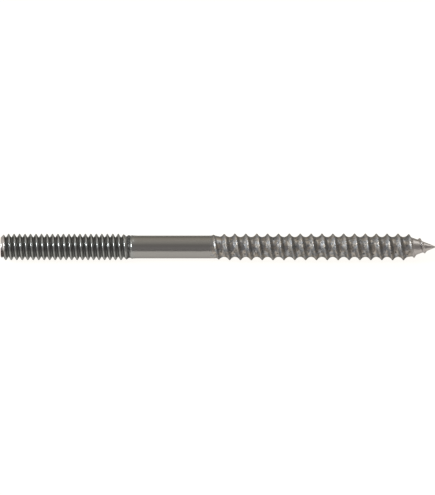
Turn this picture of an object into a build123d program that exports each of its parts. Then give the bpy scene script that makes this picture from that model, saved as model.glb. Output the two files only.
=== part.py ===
"""Hanger bolt: a machine-thread stud, a plain shank and a wood thread with a gimlet point.

Frame: X runs along the bolt towards its point and Z is up. The origin is on the axis, in the plane
where the wood thread starts, which is the face of the wood once the bolt is driven in.
Lengths are in millimetres and angles in degrees.
"""

import os
from math import cos, floor, radians, sin, tan

from build123d import *

# Machine-thread stud, 1/4 inch: the cylinder that the crests of its fine thread lie on
stud_length = 31.4
stud_diameter = 6.2
end_face_diameter = 4.5
end_chamfer_angle = 45
runout_length = 3.0

# Plain shank between the two threads
shank_length = 17.8
shank_diameter = 5.3

# Wood thread, right-handed, ten turns to the inch
wood_length = 52.4
wood_pitch = 2.54
wood_crest_diameter = 6.3
wood_root_diameter = 4.7
crest_flat = 0.24
flank_width = 0.24
flank_depth = 0.42
run_in_length = 2.3
start_angle = 72

# Gimlet point
point_angle = 43
point_thread_depth = 0.5
point_fade_length = 1.8
bare_point_length = 1.5
tip_diameter = 0.2
blend_depth = 0.3

# Each turn of the wood thread is laid in faces_per_turn lengths, on curves of steps_per_face spans
faces_per_turn = 5
steps_per_face = 2

stud_radius = stud_diameter / 2
stud_end = -shank_length - stud_length
shank_radius = shank_diameter / 2
crest_radius = wood_crest_diameter / 2
root_radius = wood_root_diameter / 2
tip_radius = tip_diameter / 2

# Whole pitches of thread between the shank and the bare end of the point
pitches = floor((wood_length - bare_point_length) / wood_pitch)
thread_end = pitches * wood_pitch

# Corners of the thread over one pitch, from the middle of one groove to the next:
# the place along the axis, and the height from 0 on the groove's floor to 1 at the crest
crest_start = (wood_pitch - crest_flat) / 2
flank_start = crest_start - flank_width
flank_foot = 1 - flank_depth / (crest_radius - root_radius)
section = [
    (0, 0),
    (flank_start, flank_foot),
    (crest_start, 1),
    (wood_pitch - crest_start, 1),
    (wood_pitch - flank_start, flank_foot),
    (wood_pitch, 0),
]


def ease(x, start, end):
    """Rise smoothly from 0 at start to 1 at end."""
    u = min(max((x - start) / (end - start), 0), 1)
    return u * u * (3 - 2 * u)


def lesser(a, b):
    """The smaller of two radii, with the corner where they cross rounded off."""
    near = max(blend_depth - abs(a - b), 0)
    return min(a, b) - near**2 / (4 * blend_depth)


def cone(x):
    """Radius of the point's core, a cone that narrows to the blunt tip."""
    return tip_radius + (wood_length - x) * tan(radians(point_angle / 2))


def groove_floor(x):
    """Radius of the groove's floor, which sinks from the shank and then follows the cone."""
    sunk = ease(x, run_in_length / 4, run_in_length)
    return lesser(shank_radius + (root_radius - shank_radius) * sunk, cone(x))


def ridge_top(x):
    """Radius of the crest, which rises from the shank and dies away on the point."""
    risen = ease(x, 0, run_in_length)
    body = shank_radius + (crest_radius - shank_radius) * risen
    left = 1 - ease(x, thread_end - point_fade_length, thread_end)
    return max(lesser(body, cone(x) + point_thread_depth * left), groove_floor(x))


def corner_at(turn, place, height, share):
    """Where a corner of the section is, a share of the way round one turn of the thread.

    The first turn grows from nothing and the last one closes, so that both ends are plain circles.
    """
    if turn == 0:
        x = place * share
    elif turn == pitches:
        x = thread_end - (wood_pitch - place) * (1 - share)
    else:
        x = (turn - 1 + share) * wood_pitch + place
    radius = groove_floor(x) + height * (ridge_top(x) - groove_floor(x))
    angle = radians(start_angle) + share * radians(360)
    return Vector(x, -radius * sin(angle), radius * cos(angle))


def ring_arc(x, radius, first, last):
    """An arc about the axis, between two shares of a turn."""
    ring = Plane(origin=(x, 0, 0), x_dir=(0, 0, 1), z_dir=(1, 0, 0))
    return Edge.make_circle(radius, ring, start_angle + 360 * first, start_angle + 360 * last)


def corner_edge(turn, place, height, first, last):
    """The curve that a corner of the section follows between two shares of a turn."""
    if turn == 0 and place == 0:
        return ring_arc(0, shank_radius, first, last)
    if turn == pitches and place == wood_pitch:
        return ring_arc(thread_end, cone(thread_end), first, last)
    shares = [first + (last - first) * i / steps_per_face for i in range(steps_per_face + 1)]
    points = [corner_at(turn, place, height, share) for share in shares]
    nudge = 1e-4
    leave = corner_at(turn, place, height, first + nudge) - points[0]
    arrive = points[-1] - corner_at(turn, place, height, last - nudge)
    return Edge.make_spline(points, tangents=(leave, arrive))


def thread_faces():
    """Skin of the wood thread: ruled faces between the curves of neighbouring corners."""
    faces = []
    for turn in range(pitches + 1):
        for length in range(faces_per_turn):
            shares = (length / faces_per_turn, (length + 1) / faces_per_turn)
            edges = [corner_edge(turn, place, height, *shares) for place, height in section]
            faces += [Face.make_surface_from_curves(a, b) for a, b in zip(edges, edges[1:])]
    return faces


def end_disc(x, radius):
    """Flat disc that closes the skin where it meets the shank or the bare tip."""
    lengths = range(faces_per_turn)
    arcs = [ring_arc(x, radius, i / faces_per_turn, (i + 1) / faces_per_turn) for i in lengths]
    return Face(Wire(arcs))


skin = [end_disc(0, shank_radius), *thread_faces(), end_disc(thread_end, cone(thread_end))]
wood_thread = Solid(Shell(skin))

with BuildPart() as hanger_bolt:
    # Stud and shank: chamfered end, crest cylinder, run-out cone, shank
    with BuildSketch(Plane.XZ):
        with BuildLine():
            chamfer_length = (stud_diameter - end_face_diameter) / 2 / tan(radians(end_chamfer_angle))
            Polyline(
                (stud_end, 0),
                (stud_end, end_face_diameter / 2),
                (stud_end + chamfer_length, stud_radius),
                (-shank_length - runout_length, stud_radius),
                (-shank_length, shank_radius),
                (0, shank_radius),
                (0, 0),
                (stud_end, 0),
            )
        make_face()
    revolve(axis=Axis.X)

    add(wood_thread)

    # Bare end of the point: the cone, down to its blunt tip
    with BuildSketch(Plane.XZ):
        with BuildLine():
            Polyline(
                (thread_end, 0),
                (thread_end, cone(thread_end)),
                (wood_length, tip_radius),
                (wood_length, 0),
                (thread_end, 0),
            )
        make_face()
    revolve(axis=Axis.X)

hanger_bolt.part.label = "hanger_bolt"

os.makedirs("parts", exist_ok=True)
export_step(hanger_bolt.part, "parts/hanger_bolt.step")

solid = hanger_bolt.part.solid()
print(f"hanger_bolt: {solid.volume:.1f} mm3, {len(solid.faces())} faces, valid {solid.is_valid}")
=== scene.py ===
import math

import bpy
from mathutils import Matrix, Vector, noise


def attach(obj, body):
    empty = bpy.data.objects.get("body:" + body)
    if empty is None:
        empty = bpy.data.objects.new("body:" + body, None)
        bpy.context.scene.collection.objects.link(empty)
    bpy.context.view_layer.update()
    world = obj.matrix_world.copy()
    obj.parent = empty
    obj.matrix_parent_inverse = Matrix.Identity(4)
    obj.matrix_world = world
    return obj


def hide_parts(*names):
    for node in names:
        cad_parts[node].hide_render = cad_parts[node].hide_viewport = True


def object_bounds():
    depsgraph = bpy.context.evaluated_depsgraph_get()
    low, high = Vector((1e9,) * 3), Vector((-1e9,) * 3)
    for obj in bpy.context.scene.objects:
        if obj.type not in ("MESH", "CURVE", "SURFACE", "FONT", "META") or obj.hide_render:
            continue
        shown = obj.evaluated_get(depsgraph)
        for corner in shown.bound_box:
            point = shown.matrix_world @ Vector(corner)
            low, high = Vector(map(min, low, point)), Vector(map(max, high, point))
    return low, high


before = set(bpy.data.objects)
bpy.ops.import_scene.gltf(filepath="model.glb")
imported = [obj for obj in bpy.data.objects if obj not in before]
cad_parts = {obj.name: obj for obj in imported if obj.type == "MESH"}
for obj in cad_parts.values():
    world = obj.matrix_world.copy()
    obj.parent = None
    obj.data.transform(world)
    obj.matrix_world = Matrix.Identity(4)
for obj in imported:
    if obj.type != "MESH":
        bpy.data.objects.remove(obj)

# Hanger bolt on a pale table: one piece of bright steel, its axis along X and its point at +X.
# The bolt's own tables are in millimetres and degrees, and the set's are in metres and degrees.

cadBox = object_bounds()
mm = 0.001
boltStart = cadBox[0].x / mm
boltTip = cadBox[1].x / mm - 0.001  # a hair inside the solid's tip
floorZ = cadBox[0].z


def ease(x, start, end):  # from 0 at the start to 1 at the end, smoothly
    u = min(max((x - start) / (end - start), 0), 1)
    return u * u * (3 - 2 * u)


def band(x, rise, fall):  # 1 between the rise and the fall and 0 outside them
    return ease(x, *rise) * (1 - ease(x, *fall))


def along(x, line):
    # the height at x of a line given as pairs of place and height
    if x <= line[0][0]:
        return line[0][1]
    for (a, low), (b, high) in zip(line, line[1:]):
        if x < b:
            return low + (high - low) * (x - a) / (b - a)
    return line[-1][1]


def lesser(a, b, blend):  # the smaller radius, with the crossing rounded off
    near = max(blend - abs(a - b), 0)
    return min(a, b) - near**2 / (4 * blend)


def deselectAll():
    if bpy.context.mode != "OBJECT":
        bpy.ops.object.mode_set(mode="OBJECT")
    bpy.ops.object.select_all(action="DESELECT")


def roundedChain(corners, rounds, count=3):
    # corners joined by straight lines, each inner one rounded by an arc of its own radius
    points = [Vector(corners[0])]
    for i in range(1, len(corners) - 1):
        here = Vector(corners[i])
        back = (Vector(corners[i - 1]) - here).normalized()
        on = (Vector(corners[i + 1]) - here).normalized()
        if not rounds[i]:
            points.append(here)
            continue
        half = back.angle(on) / 2
        reach = rounds[i] / math.tan(half)
        centre = here + (back + on).normalized() * (rounds[i] / math.sin(half))
        first = here + back * reach - centre
        last = here + on * reach - centre
        turn = first.angle_signed(last)
        for k in range(count + 1):
            a = -turn * k / count
            spoke = Vector(
                (
                    first.x * math.cos(a) - first.y * math.sin(a),
                    first.x * math.sin(a) + first.y * math.cos(a),
                )
            )
            points.append(centre + spoke)
    points.append(Vector(corners[-1]))
    return points


def drawProfile(name, points):
    # a plane shrunk to one vertex, extruded from point to point in the XZ plane
    deselectAll()
    start = points[0] * mm
    bpy.ops.mesh.primitive_plane_add(size=mm, location=(start.x, 0, start.y))
    piece = bpy.context.object
    piece.name = name
    bpy.ops.object.transform_apply(location=True, rotation=True, scale=True)
    bpy.ops.object.mode_set(mode="EDIT")
    bpy.ops.mesh.select_mode(type="VERT")
    bpy.ops.mesh.select_all(action="SELECT")
    bpy.ops.mesh.merge(type="CENTER")
    for a, b in zip(points, points[1:]):
        step = (b - a) * mm
        bpy.ops.mesh.extrude_region_move(TRANSFORM_OT_translate={"value": (step.x, 0, step.y)})
    bpy.ops.object.mode_set(mode="OBJECT")
    return piece


def sweepTurns(piece, pitch, turns, steps):
    # right-handed: the sweep turns from the top towards the front as it moves along +X
    screw = piece.modifiers.new("turns", "SCREW")
    screw.axis = "X"
    screw.angle = math.radians(360)
    screw.screw_offset = pitch * mm
    screw.iterations = turns
    screw.steps = steps
    screw.render_steps = steps
    screw.use_merge_vertices = True
    screw.merge_threshold = 0.00001 * mm
    bpy.ops.object.modifier_apply(modifier=screw.name)
    bpy.ops.object.mode_set(mode="EDIT")
    bpy.ops.mesh.select_all(action="SELECT")
    bpy.ops.mesh.remove_doubles(threshold=0.001 * mm)
    bpy.ops.object.mode_set(mode="OBJECT")


def reshape(piece, move):
    # move gives each vertex its new place along the axis and its new radius, in millimetres
    for vertex in piece.data.vertices:
        x, y, z = vertex.co / mm
        radius = math.hypot(y, z)
        newX, newRadius = move(x, radius, math.atan2(-y, z))
        share = newRadius / radius
        vertex.co = Vector((newX, y * share, z * share)) * mm
    piece.data.update()


def makeActive(piece):
    deselectAll()
    piece.select_set(True)
    bpy.context.view_layer.objects.active = piece


def cutSquare(piece, x, keepLeft):
    makeActive(piece)
    bpy.ops.object.mode_set(mode="EDIT")
    bpy.ops.mesh.select_all(action="SELECT")
    bpy.ops.mesh.bisect(
        plane_co=(x * mm, 0, 0),
        plane_no=(1, 0, 0),
        clear_outer=keepLeft,
        clear_inner=not keepLeft,
        threshold=0.0001 * mm,
    )
    bpy.ops.object.mode_set(mode="OBJECT")


def selectRing(piece, x):
    # the open edge that lies square to the axis at x
    bpy.ops.object.mode_set(mode="EDIT")
    bpy.ops.mesh.select_mode(type="EDGE")
    bpy.ops.mesh.select_all(action="DESELECT")
    bpy.ops.mesh.select_non_manifold(extend=False)
    bpy.ops.object.mode_set(mode="OBJECT")
    vertices = piece.data.vertices
    for vertex in vertices:
        vertex.select = vertex.select and abs(vertex.co.x / mm - x) < 0.001
    for edge in piece.data.edges:
        edge.select = edge.select and all(vertices[i].select for i in edge.vertices)
    bpy.ops.object.mode_set(mode="EDIT")


def facesOutward(piece):
    bpy.ops.object.mode_set(mode="EDIT")
    bpy.ops.mesh.select_mode(type="FACE")
    bpy.ops.mesh.select_all(action="SELECT")
    bpy.ops.mesh.normals_make_consistent(inside=False)
    bpy.ops.object.mode_set(mode="OBJECT")


# Machine thread, with its run-out into the shank

studThread = {
    "pitch": 1.282,
    "crestRadius": 3.1,
    "rootRadius": 2.28,
    "crestFlat": 0.2,
    "crestRound": 0.165,
    "rootRound": 0.13,
    "flankAngle": 30,  # from square to the axis
    "topCrest": -34.4,  # one place where the crest passes over the top
    "stepsPerTurn": 72,
    "endFaceRadius": 2.25,
    "endChamfer": 0.85,
    "chamferBlend": 0.06,
    "fineFacesPast": 0.3,  # how far past the chamfer the faces are finer
    "fineCuts": 2,
    # crest and root of the run-out: place along the axis and radius there
    "runoutCrests": [
        (-20.95, 3.1),
        (-20.4, 2.93),
        (-19.8, 2.93),
        (-19.3, 2.82),
        (-19.05, 2.7),
        (-18.7, 2.64),
    ],
    "runoutRoots": [(-20.95, 2.28), (-20.5, 2.37), (-19.8, 2.5), (-19.1, 2.55), (-18.7, 2.62)],
}


def studCrest(x):
    return along(x, studThread["runoutCrests"])


def studRoot(x):
    return along(x, studThread["runoutRoots"])


def makeStud():
    t = studThread
    depth = t["crestRadius"] - t["rootRadius"]
    crest = t["crestFlat"] / 2
    foot = crest + depth * math.tan(math.radians(t["flankAngle"]))
    half = t["pitch"] / 2
    corners = [
        (-half, t["rootRadius"]),
        (-foot, t["rootRadius"]),
        (-crest, t["crestRadius"]),
        (crest, t["crestRadius"]),
        (foot, t["rootRadius"]),
        (half, t["rootRadius"]),
    ]
    rounds = [0, t["rootRound"], t["crestRound"], t["crestRound"], t["rootRound"], 0]
    # back from the crest over the top, by whole turns, to before the end of the stud
    turnsBack = math.ceil((t["topCrest"] - boltStart) / t["pitch"]) + 1
    start = t["topCrest"] - turnsBack * t["pitch"]
    turns = math.ceil((shank["cutAtStud"] - start) / t["pitch"]) + 1
    points = [Vector((p.x + start, p.y)) for p in roundedChain(corners, rounds)]
    stud = drawProfile("stud", points)
    sweepTurns(stud, t["pitch"], turns, t["stepsPerTurn"])

    def move(x, radius, angle):
        height = max(radius - t["rootRadius"], 0) / depth
        return x, studRoot(x) + height * (studCrest(x) - studRoot(x))

    reshape(stud, move)
    cutSquare(stud, shank["cutAtStud"], keepLeft=True)

    # the end chamfer: finer faces there, drawn in to a cone and then cut off square
    makeActive(stud)
    bpy.ops.object.mode_set(mode="EDIT")
    bpy.ops.mesh.select_mode(type="FACE")
    bpy.ops.mesh.select_all(action="DESELECT")
    bpy.ops.object.mode_set(mode="OBJECT")
    for face in stud.data.polygons:
        face.select = face.center.x / mm < boltStart + t["endChamfer"] + t["fineFacesPast"]
    bpy.ops.object.mode_set(mode="EDIT")
    bpy.ops.mesh.subdivide(number_cuts=t["fineCuts"])
    bpy.ops.object.mode_set(mode="OBJECT")

    def chamfer(x, radius, angle):
        coneRadius = t["endFaceRadius"] + max(x - boltStart, -0.5)  # at 45 degrees, never to a point
        return x, lesser(radius, coneRadius, t["chamferBlend"])

    reshape(stud, chamfer)
    cutSquare(stud, boltStart, keepLeft=False)
    selectRing(stud, boltStart)
    bpy.ops.mesh.edge_face_add()
    bpy.ops.object.mode_set(mode="OBJECT")
    print("machine thread", len(stud.data.polygons), "faces")
    return stud


# Wood thread and gimlet point

woodThread = {
    "pitch": 2.54,
    "crestRadius": 3.148,
    "rootRadius": 2.35,
    "crestFlat": 0.12,
    "crestRound": 0.12,
    "flankWidth": 0.34,
    "flankDepth": 0.44,
    "startAngle": 72,
    "leadTurns": 3,  # swept before the start and cut off again
    "stepsPerTurn": 96,
    "hollowPoints": 6,  # along each half of the hollow between two ridges
    # the run-in, as places along the axis: the ridge gains each half of its height, its floor sinks
    "firstRise": (-0.3, 0.4),
    "secondRise": (0.5, 4.6),
    "floorSinks": (0.575, 2.875),
    "sharpening": 3,  # the run-in's ridge is thinner
    "sharpUntil": (0.3, 2.5),
    # unevenness of the rolled ridge and skin: sizes, and how many to a turn or to a millimetre
    "crestWander": 0.05,
    "wandersPerTurn": 5,
    "wanderSeed": (0.3, 7.1),
    "crestDrop": 0.05,
    "dropsPerTurn": 4,
    "dropSeed": (5.7, 2.9),
    "leastRidge": 0.05,  # a lower ridge has no drops
    "skinDepth": 0.008,
    "skinScale": 2.2,
    "skinFrom": (-0.2, 1.2),
    "skinUntil": (46, 50),
}

gimletPoint = {
    "angle": 41,
    "threadDepth": 0.55,
    "threadEnd": 50.8,
    "fadeLength": 1.3,
    "tipRadius": 0.17,
    "blend": 0.3,
    "sharpening": 1.5,  # the ridge is thinner on the point
    "sharpFrom": (45.5, 47.5),
    "coneRings": (0.4, 0.75, 1),  # shares of the bare cone's length
    "tipRings": 3,
}


def cone(x):
    return gimletPoint["tipRadius"] + (boltTip - x) * math.tan(math.radians(gimletPoint["angle"] / 2))


def grooveFloor(x):
    t = woodThread
    sunk = ease(x, *t["floorSinks"])
    floor = shank["radius"] + (t["rootRadius"] - shank["radius"]) * sunk
    return lesser(floor, cone(x), gimletPoint["blend"])


def ridgeTop(x):
    t = woodThread
    g = gimletPoint
    risen = 0.5 * ease(x, *t["firstRise"]) + 0.5 * ease(x, *t["secondRise"])
    body = shank["radius"] + (t["crestRadius"] - shank["radius"]) * risen
    left = 1 - ease(x, g["threadEnd"] - g["fadeLength"], g["threadEnd"])
    return max(lesser(body, cone(x) + g["threadDepth"] * left, g["blend"]), grooveFloor(x))


def woodProfile():
    # from the middle of one hollow, over the ridge, to the middle of the next
    t = woodThread
    half = t["pitch"] / 2
    crest = t["crestFlat"] / 2
    flank = crest + t["flankWidth"]
    footRadius = t["crestRadius"] - t["flankDepth"]
    run = half - flank
    rise = footRadius - t["rootRadius"]
    hollowRadius = (run**2 + rise**2) / (2 * rise)
    hollow = []
    for i in range(t["hollowPoints"]):
        x = run * i / t["hollowPoints"]
        hollow.append((x - half, t["rootRadius"] + hollowRadius - math.sqrt(hollowRadius**2 - x**2)))
    left = hollow + [(-flank, footRadius), (-crest, t["crestRadius"])]
    corners = left + [(-x, radius) for x, radius in reversed(left)]
    rounds = [0] * len(corners)
    rounds[len(left) - 1] = rounds[len(left)] = t["crestRound"]
    return roundedChain(corners, rounds)


def makeWoodThread():
    t = woodThread
    depth = t["crestRadius"] - t["rootRadius"]
    # the ridge passes over the top where the CAD solid's does, and starts whole turns before it
    topCrest = t["pitch"] * (0.5 + 1 - t["startAngle"] / 360)
    start = topCrest - t["leadTurns"] * t["pitch"]
    turns = math.ceil((gimletPoint["threadEnd"] - start) / t["pitch"]) + 1
    points = [Vector((p.x + start, p.y)) for p in woodProfile()]
    thread = drawProfile("woodThread", points)
    sweepTurns(thread, t["pitch"], turns, t["stepsPerTurn"])

    def move(x, radius, angle):
        height = max(radius - t["rootRadius"], 0) / depth
        # how far along the helix, in turns, the same right across a ridge
        turn = angle / math.radians(360)
        path = round((x - start) / t["pitch"] - turn) + turn
        wander = noise.noise(Vector((path * t["wandersPerTurn"], *t["wanderSeed"])))
        drop = abs(noise.noise(Vector((path * t["dropsPerTurn"], *t["dropSeed"]))))
        newX = x + t["crestWander"] * wander * height
        floor = grooveFloor(x)
        top = ridgeTop(x)
        if top > floor + t["leastRidge"]:
            top -= t["crestDrop"] * drop
        sharp = 1 + gimletPoint["sharpening"] * ease(x, *gimletPoint["sharpFrom"])
        sharp += t["sharpening"] * (1 - ease(x, *t["sharpUntil"]))
        newRadius = floor + height**sharp * (top - floor)
        scale = t["skinScale"]
        place = Vector((x * scale, radius * math.sin(angle) * scale, radius * math.cos(angle) * scale))
        rough = noise.noise(place) * band(x, t["skinFrom"], t["skinUntil"])
        # dents only, and the step at no roughness gives them the sharp edges of rolled scale
        newRadius += t["skinDepth"] * (rough - 1 if rough > 0 else rough)
        return newX, newRadius

    reshape(thread, move)
    cutSquare(thread, shank["cutAtWood"], keepLeft=False)
    cutSquare(thread, gimletPoint["threadEnd"], keepLeft=True)
    return thread


def makePoint(thread):
    # the bare end of the point: its ring is drawn out along the cone and closed at a blunt tip
    g = gimletPoint
    makeActive(thread)
    selectRing(thread, g["threadEnd"])
    slope = math.radians(g["angle"] / 2)
    tip = g["tipRadius"]
    ballCentre = boltTip - tip
    places = [(g["threadEnd"], cone(g["threadEnd"]))]
    coneEnd = ballCentre + tip * math.sin(slope)
    coneEndRadius = tip * math.cos(slope)
    for share in g["coneRings"]:
        x = g["threadEnd"] + (coneEnd - g["threadEnd"]) * share
        radius = places[0][1] + (coneEndRadius - places[0][1]) * share
        places.append((x, radius))
    for k in range(1, g["tipRings"] + 1):
        a = slope + (math.radians(90) - slope) * k / (g["tipRings"] + 0.5)
        places.append((ballCentre + tip * math.sin(a), tip * math.cos(a)))
    for (x, radius), (nextX, nextRadius) in zip(places, places[1:]):
        share = nextRadius / radius
        bpy.ops.mesh.extrude_region_move(TRANSFORM_OT_translate={"value": ((nextX - x) * mm, 0, 0)})
        bpy.ops.transform.resize(value=(1, share, share), center_override=(nextX * mm, 0, 0))
    bpy.ops.mesh.extrude_region_move(TRANSFORM_OT_translate={"value": ((boltTip - nextX) * mm, 0, 0)})
    bpy.ops.mesh.merge(type="CENTER")
    bpy.ops.object.mode_set(mode="OBJECT")
    print("wood thread and point", len(thread.data.polygons), "faces")


# Shank, between the two threads

shank = {
    "radius": 2.67,
    "cutAtStud": -18.755,  # where the stud's sweep is cut off square
    "cutAtWood": -0.9,  # where the wood thread's sweep is cut off square
    "ringSpacing": 0.5,
    # a low shoulder stands where the stud's last groove ends: place along the axis and radius there
    "shoulder": [(-18.64, 2.735), (-18.5, 2.76), (-18.3, 2.71), (-17.9, 2.69), (-17.5, 2.67)],
}


def joinShank(stud, thread):
    # the stud's open ring is drawn out ring by ring, then bridged to the wood thread's
    makeActive(stud)
    selectRing(stud, shank["cutAtStud"])
    shoulder = shank["shoulder"]
    places = [x for x, radius in shoulder]
    length = shank["cutAtWood"] - places[-1]
    rings = int(length / shank["ringSpacing"])
    places += [places[-1] + length * k / rings for k in range(1, rings)]
    here = shank["cutAtStud"]
    for x in places:
        bpy.ops.mesh.extrude_region_move(TRANSFORM_OT_translate={"value": ((x - here) * mm, 0, 0)})
        here = x
    bpy.ops.object.mode_set(mode="OBJECT")

    def move(x, radius, angle):
        return x, along(x, shoulder) if x > shank["cutAtStud"] + 0.01 else radius

    reshape(stud, move)
    stud.select_set(True)
    thread.select_set(True)
    bpy.ops.object.join()
    bolt = bpy.context.object
    bpy.ops.object.mode_set(mode="EDIT")
    bpy.ops.mesh.select_mode(type="EDGE")
    bpy.ops.mesh.select_all(action="DESELECT")
    bpy.ops.mesh.select_non_manifold(extend=False)
    bpy.ops.mesh.bridge_edge_loops()
    bpy.ops.object.mode_set(mode="OBJECT")
    return bolt


crispAngle = 40  # edges sharper than this aren't smoothed

stud = makeStud()
thread = makeWoodThread()
makePoint(thread)
bolt = joinShank(stud, thread)
bolt.name = "hangerBolt"
facesOutward(bolt)
bpy.ops.object.shade_smooth_by_angle(angle=math.radians(crispAngle))
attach(bolt, "root")
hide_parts("hanger_bolt")
print("bolt", len(bolt.data.vertices), "vertices", len(bolt.data.polygons), "faces")


# Steel

steel = {
    "colour": (0.3, 0.291, 0.278, 1),
    "studColour": (0.3, 0.302, 0.293, 1),
    "coldColour": (0.295, 0.297, 0.305, 1),
    "warmColour": (0.385, 0.348, 0.307, 1),
    # grime colour: dirt, and also painted shade in the stud's grooves and on the wood thread's flanks
    "grimeAndShadeColour": (0.08, 0.078, 0.074, 1),
    "cutColour": (0.42, 0.393, 0.375, 1),
    # brown stain colour, which also stands in as painted shade on the lower front of the cut end
    "stainAndShadeColour": (0.1, 0.078, 0.064, 1),
    "rimTint": (0.5, 0.5, 0.5, 1),  # darkens what the steel mirrors at a glancing angle
    "roughness": 0.24,
    "studRoughness": 0.26,
    "coldRoughness": 0.25,
    "warmRoughness": 0.34,
    "cutRoughness": 0.28,
    "grimeAndShadeRoughness": 1,
    # noise, in lumps to the metre: patches of colour, knocks and dark spots, and fine grain
    "patchScale": 1050,
    "knockScale": 1900,
    "grainScale": 3200,
    "patchEdge": (0.42, 0.58),
    "spotEdge": (0.5, 0.68),
    "grainEdge": (0.3, 0.7),
    "grimeAndShadeSpread": (0.6, 1.4),
    "woodSpots": 0.65,
    "stainAndShadeStrength": 0.8,
    "lineStretch": 0.04,  # the lines drawn along the shank are long along X
    # bump, in millimetres
    "lineHeight": 0.002,
    "dentHeight": 0.05,
    "pitHeight": 0.03,
}

# how strong each mark is and where it lies: places along the axis, or shares of the thread's depth
# from root to crest
wear = {
    # the stud's grooves and the wood thread's flanks are darkened partly as dirt and partly as painted
    # shade
    "studGrimeAndShade": 0.27,
    "studGrimeAndShadeUntil": (0.1, 0.65),
    "runoutGrime": 0.75,
    "runoutFrom": (-20, -19.6),
    "runoutUntil": (-18.95, -18.8),
    "flankGrimeAndShade": 0.52,
    "flankFrom": (0, 0.16),
    "flankUntil": (0.8, 1.05),
    "flankEnd": (46, 47.5),
    "grimeAndShadeDepth": (0.01, 0.1),  # a thread shallower than this gets less grime and painted shade, or none
    "leastDepth": 0.05,  # the smooth parts count as a thread this deep
    "studUntil": (-18.5, -17.5),
    "rolledFrom": (-1, 1),
    "cutDepth": (0.75, 1.1),  # from the end face
    "pointFrom": (46.4, 47.4),
    "pointBright": 0.9,
    # the brown stain, with painted shade, lies on the lower front of the cut end
    "stainAndShadeFrom": (58, 72),  # degrees from the top, round by the front
    "stainAndShadeUntil": (130, 170),
}


def grimeAndShadeAt(x, share):
    # how dark and dull the steel is: partly dirt and partly painted shade in the machine thread's grooves
    # and on the wood thread's flanks, and dirt on the run-out
    w = wear
    if x < shank["cutAtStud"]:
        grooves = w["studGrimeAndShade"] * (1 - ease(share, *w["studGrimeAndShadeUntil"]))
        return max(grooves, w["runoutGrime"] * band(x, w["runoutFrom"], w["runoutUntil"]))
    flanks = w["flankGrimeAndShade"] * band(share, w["flankFrom"], w["flankUntil"])
    return flanks * (1 - ease(x, *w["flankEnd"]))


def markSurface(piece):
    # point attributes that the steel reads: its grime with painted shade, the rolled wood thread, the stud,
    # the bright cut end and bare point, and the brown stain with painted shade round the lower front of the
    # cut end
    w = wear
    marks = {"grimeAndShade": [], "rolled": [], "stud": [], "cut": [], "stainAndShade": []}
    for vertex in piece.data.vertices:
        x, y, z = vertex.co / mm
        if x < shank["cutAtStud"]:
            root, top = studRoot(x), studCrest(x)
        else:
            root, top = grooveFloor(x), ridgeTop(x)
        depth = top - root
        share = min(max((math.hypot(y, z) - root) / max(depth, w["leastDepth"]), 0), 1)
        angle = math.degrees(math.atan2(-y, z))
        end = 1 - ease(x - boltStart, *w["cutDepth"])
        # brown stain and painted shade on the lower front of the cut end
        stainAndShade = end * band(angle, w["stainAndShadeFrom"], w["stainAndShadeUntil"])
        point = w["pointBright"] * ease(x, *w["pointFrom"])
        marks["grimeAndShade"].append(grimeAndShadeAt(x, share) * ease(depth, *w["grimeAndShadeDepth"]))
        marks["rolled"].append(ease(x, *w["rolledFrom"]))
        marks["stud"].append(1 - ease(x, *w["studUntil"]))
        marks["cut"].append(end - stainAndShade + point)
        marks["stainAndShade"].append(stainAndShade)
    for name, values in marks.items():
        piece.data.attributes.new(name, "FLOAT", "POINT")
        piece.data.attributes[name].data.foreach_set("value", values)


class Wiring:
    # short ways to add and join the nodes of one material
    def __init__(self, name):
        self.material = bpy.data.materials.new(name)
        self.material.use_nodes = True
        self.nodes = self.material.node_tree.nodes
        self.links = self.material.node_tree.links

    def add(self, kind, **settings):
        node = self.nodes.new("ShaderNode" + kind)
        for name, value in settings.items():
            setattr(node, name, value)
        return node

    def join(self, output, socket):
        self.links.new(output, socket)

    def math(self, operation, a, b=0.0):
        node = self.add("Math", operation=operation)
        for socket, value in zip(node.inputs, (a, b)):
            if isinstance(value, (int, float)):
                socket.default_value = value
            else:
                self.join(value, socket)
        return node.outputs[0]

    def mark(self, name):
        return self.add("Attribute", attribute_name=name).outputs["Fac"]

    def noise(self, place, scale, detail):
        node = self.add("TexNoise")
        self.join(place, node.inputs["Vector"])
        node.inputs["Scale"].default_value = scale
        node.inputs["Detail"].default_value = detail
        return node.outputs["Fac"]

    def spread(self, value, edge, newEdge=(0.0, 1.0)):
        # from the first pair of numbers to the second
        node = self.add("MapRange")
        self.join(value, node.inputs["Value"])
        for name, number in zip(("From Min", "From Max", "To Min", "To Max"), (*edge, *newEdge)):
            node.inputs[name].default_value = number
        return node.outputs["Result"]

    def blend(self, share, a, b):
        # between two numbers
        return self.math("ADD", a, self.math("MULTIPLY", share, self.math("SUBTRACT", b, a)))

    def mix(self, share, a, b):
        # between two colours
        node = self.add("Mix", data_type="RGBA")
        self.join(share, node.inputs["Factor"])
        for socket, value in ((node.inputs[6], a), (node.inputs[7], b)):
            if isinstance(value, tuple):
                socket.default_value = value
            else:
                self.join(value, socket)
        return node.outputs[2]


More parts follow.
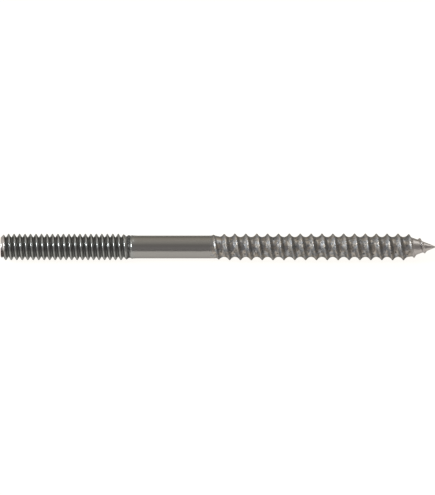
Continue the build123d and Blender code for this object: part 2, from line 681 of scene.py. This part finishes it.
def brightSteel():
    wiring = Wiring("brightSteel")
    shader = wiring.nodes["Principled BSDF"]
    place = wiring.add("TexCoord").outputs["Object"]
    grimeAndShade = wiring.mark("grimeAndShade")
    rolled = wiring.mark("rolled")
    stud = wiring.mark("stud")
    cut = wiring.mark("cut")
    stainAndShade = wiring.mark("stainAndShade")
    patches = wiring.noise(place, steel["patchScale"], 3)
    knocks = wiring.noise(place, steel["knockScale"], 2)
    grain = wiring.noise(place, steel["grainScale"], 3)
    stretch = wiring.add("Mapping")
    stretch.inputs["Scale"].default_value = (steel["lineStretch"], 1, 1)
    wiring.join(place, stretch.inputs["Vector"])
    lines = wiring.noise(stretch.outputs[0], steel["grainScale"], 2)

    warm = wiring.spread(patches, steel["patchEdge"])
    tint = wiring.mix(warm, steel["coldColour"], steel["warmColour"])
    colour = wiring.mix(stud, steel["colour"], steel["studColour"])
    colour = wiring.mix(rolled, colour, tint)
    speckleAndShade = wiring.math("MULTIPLY", grimeAndShade, wiring.spread(grain, steel["grainEdge"], steel["grimeAndShadeSpread"]))
    spots = wiring.spread(knocks, steel["spotEdge"], (0, steel["woodSpots"]))
    speckleAndShade = wiring.math("MAXIMUM", speckleAndShade, wiring.math("MULTIPLY", spots, rolled))
    # darkened towards the grime colour: dirt and random spots, and painted shade in the stud's grooves and
    # on the wood thread's flanks
    colour = wiring.mix(speckleAndShade, colour, steel["grimeAndShadeColour"])
    colour = wiring.mix(cut, colour, steel["cutColour"])
    # a brown stain with painted shade on the lower front of the cut end
    brownStainAndShade = wiring.math("MULTIPLY", stainAndShade, steel["stainAndShadeStrength"])
    colour = wiring.mix(brownStainAndShade, colour, steel["stainAndShadeColour"])
    wiring.join(colour, shader.inputs["Base Color"])
    shader.inputs["Metallic"].default_value = 1
    shader.inputs["Specular Tint"].default_value = steel["rimTint"]

    dull = wiring.spread(stud, (0, 1), (steel["roughness"], steel["studRoughness"]))
    scale = wiring.spread(warm, (0, 1), (steel["coldRoughness"], steel["warmRoughness"]))
    dull = wiring.blend(rolled, dull, scale)
    dull = wiring.blend(speckleAndShade, dull, steel["grimeAndShadeRoughness"])
    dull = wiring.blend(cut, dull, steel["cutRoughness"])
    wiring.join(dull, shader.inputs["Roughness"])

    height = wiring.math("MULTIPLY", lines, steel["lineHeight"])
    dents = wiring.math("MULTIPLY", wiring.math("MULTIPLY", knocks, rolled), steel["dentHeight"])
    pits = wiring.math("MULTIPLY", wiring.math("MULTIPLY", grain, rolled), steel["pitHeight"])
    height = wiring.math("ADD", height, wiring.math("ADD", dents, pits))
    bump = wiring.add("Bump")
    bump.inputs["Strength"].default_value = 1
    bump.inputs["Distance"].default_value = mm
    wiring.join(height, bump.inputs["Height"])
    wiring.join(bump.outputs[0], shader.inputs["Normal"])
    return wiring.material


markSurface(bolt)
bolt.data.materials.clear()
bolt.data.materials.append(brightSteel())
print("steel on the bolt, with marks for grime, rolled skin, stud, cut and stain")


# Camera

view = {
    "distance": 1.5,
    "elevation": 43,
    "frameWidth": 0.10167,
    "frameCentre": 0.00145,
    "axisAboveCentre": 0.00013,
    "widthOverHeight": 435 / 495,
    "clipEnd": 100,
}


def makeCamera():
    tilt = math.radians(view["elevation"])
    back = Vector((0, -math.cos(tilt), math.sin(tilt)))
    up = Vector((0, math.sin(tilt), math.cos(tilt)))
    centre = Vector((view["frameCentre"], 0, 0)) - up * view["axisAboveCentre"]
    deselectAll()
    bpy.ops.object.camera_add(location=centre + back * view["distance"])
    camera = bpy.context.object
    camera.rotation_mode = "QUATERNION"
    camera.rotation_quaternion = back.to_track_quat("Z", "Y")
    # the sensor's width lies along the picture's long side, its height
    sensor = camera.data.sensor_width * view["widthOverHeight"]
    camera.data.lens = sensor * view["distance"] / view["frameWidth"]
    camera.data.clip_end = view["clipEnd"]
    bpy.context.scene.camera = camera


# Floor

floorLook = {
    "radius": 1.5,
    "colour": (0.93, 0.93, 0.92, 1),
    "roughness": 0.9,
    "glow": (1, 0.977, 0.935, 1),
    "glowStrength": 1.1,
    "whiteShare": 0.88,
}


def palePaper():
    wiring = Wiring("palePaper")
    shader = wiring.nodes["Principled BSDF"]
    shader.inputs["Base Color"].default_value = floorLook["colour"]
    shader.inputs["Roughness"].default_value = floorLook["roughness"]
    shader.inputs["Specular IOR Level"].default_value = 0
    # seen straight or in the steel, most of the paper is plain white, and the rest keeps the shadow
    glow = wiring.add("Emission")
    glow.inputs["Color"].default_value = floorLook["glow"]
    glow.inputs["Strength"].default_value = floorLook["glowStrength"]
    rays = wiring.add("LightPath").outputs
    seen = wiring.math("MAXIMUM", rays["Is Camera Ray"], rays["Is Glossy Ray"])
    seen = wiring.math("MAXIMUM", seen, rays["Is Transmission Ray"])
    mixed = wiring.add("MixShader")
    wiring.join(wiring.math("MULTIPLY", seen, floorLook["whiteShare"]), mixed.inputs["Fac"])
    wiring.join(shader.outputs[0], mixed.inputs[1])
    wiring.join(glow.outputs[0], mixed.inputs[2])
    wiring.join(mixed.outputs[0], wiring.nodes["Material Output"].inputs["Surface"])
    return wiring.material


def makeFloor():
    deselectAll()
    bpy.ops.mesh.primitive_circle_add(
        vertices=96,
        radius=floorLook["radius"],
        fill_type="NGON",
        location=(0, 0, floorZ),
    )
    floor = bpy.context.object
    floor.name = "floor"
    floor.data.materials.append(palePaper())


# Tent of grey paper round the set, which the steel mirrors

tentLook = {
    "radius": 2.6,
    "belowFloor": 0.05,
    # greys by the angle about the bolt's axis: 0 at the front, 0.5 overhead and 1 at the back
    "greys": [
        (0.0, (0.22, 0.212, 0.208)),
        (0.03, (0.27, 0.258, 0.254)),
        (0.10, (0.42, 0.405, 0.41)),
        (0.19, (0.41, 0.395, 0.395)),
        (0.28, (0.34, 0.325, 0.32)),
        (0.36, (0.36, 0.35, 0.335)),
        (0.44, (0.53, 0.513, 0.485)),
        (0.55, (0.64, 0.617, 0.571)),
        (0.75, (0.69, 0.645, 0.566)),
        (0.9, (0.41, 0.39, 0.352)),
        (1.0, (0.38, 0.362, 0.326)),
    ],
}


def tentPaper():
    wiring = Wiring("tentPaper")
    wiring.nodes.clear()
    output = wiring.add("OutputMaterial")
    glow = wiring.add("Emission")
    split = wiring.add("SeparateXYZ")
    wiring.join(wiring.add("TexCoord").outputs["Object"], split.inputs[0])
    forward = wiring.math("MULTIPLY", split.outputs["Y"], -1)
    angle = wiring.math("ARCTAN2", split.outputs["Z"], forward)
    ramp = wiring.add("ValToRGB")
    wiring.join(wiring.math("DIVIDE", angle, math.pi), ramp.inputs["Fac"])
    wiring.join(ramp.outputs["Color"], glow.inputs["Color"])
    wiring.join(glow.outputs[0], output.inputs["Surface"])
    stops = ramp.color_ramp.elements
    while len(stops) < len(tentLook["greys"]):
        stops.new(0.5)
    for stop, (share, grey) in zip(stops, tentLook["greys"]):
        stop.position = share
        stop.color = (*grey, 1)
    return wiring.material


def makeTent():
    deselectAll()
    bpy.ops.mesh.primitive_cylinder_add(
        vertices=64,
        radius=tentLook["radius"],
        depth=2 * tentLook["radius"],
        rotation=(0, math.radians(90), 0),
    )
    tent = bpy.context.object
    tent.name = "tent"
    bpy.ops.object.transform_apply(location=True, rotation=True, scale=True)
    bpy.ops.object.mode_set(mode="EDIT")
    bpy.ops.mesh.select_all(action="SELECT")
    bottom = floorZ - tentLook["belowFloor"]
    bpy.ops.mesh.bisect(plane_co=(0, 0, bottom), plane_no=(0, 0, 1), clear_inner=True)
    bpy.ops.object.mode_set(mode="OBJECT")
    tent.data.materials.append(tentPaper())
    tent.visible_camera = False


# Lamps

# the lamp whose glints lie along the ridges; its angles are from the camera's own line of sight
lamp = {
    "aside": -62,
    "above": 26,
    "distance": 0.7,
    "wide": 0.4,
    "tall": 0.12,
    "power": 6.2,
    "colour": (0.91, 0.96, 1),
}

# large soft lights far off to one side, which slopes facing that way catch
leftLight = {
    "towards": (-1, 0.28, 0.36),
    "distance": 1,
    "wide": 0.9,
    "tall": 0.6,
    "power": 1,
    "colour": (1, 0.93, 0.9),
}

rightLight = {
    "towards": (0.52, 0.4, 0.72),
    "distance": 1,
    "wide": 0.5,
    "tall": 0.9,
    "power": 1.7,
    "colour": (0.93, 0.97, 1),
}


def addLight(name, shape, settings, towards, turned):
    deselectAll()
    bpy.ops.object.light_add(type="AREA", location=towards * settings["distance"])
    light = bpy.context.object
    light.name = name
    light.data.shape = shape
    light.data.size = settings["wide"]
    light.data.size_y = settings["tall"]
    light.data.energy = settings["power"]
    light.data.color = settings["colour"]
    light.rotation_mode = "QUATERNION"
    light.rotation_quaternion = turned


def makeLamp():
    above = math.radians(view["elevation"] + lamp["above"])
    aside = math.radians(lamp["aside"])
    near = math.cos(aside)
    far = math.sin(aside)
    towards = Vector((far, -near * math.cos(above), near * math.sin(above)))
    across = Vector((near, far * math.cos(above), -far * math.sin(above)))
    turned = Matrix((across, towards.cross(across), towards)).transposed()
    addLight("lamp", "ELLIPSE", lamp, towards, turned.to_quaternion())


def makeSoftLight(name, settings):
    towards = Vector(settings["towards"]).normalized()
    addLight(name, "RECTANGLE", settings, towards, towards.to_track_quat("Z", "Y"))


roomColour = (0.94, 0.94, 0.93, 1)


def makeRoom():
    world = bpy.data.worlds.new("whiteRoom")
    world.use_nodes = True
    world.node_tree.nodes["Background"].inputs["Color"].default_value = roomColour
    bpy.context.scene.world = world


makeFloor()
makeTent()
makeLamp()
makeSoftLight("leftLight", leftLight)
makeSoftLight("rightLight", rightLight)
makeCamera()
makeRoom()
bpy.context.scene.view_settings.view_transform = "Standard"
print("floor, tent, lamps and camera")
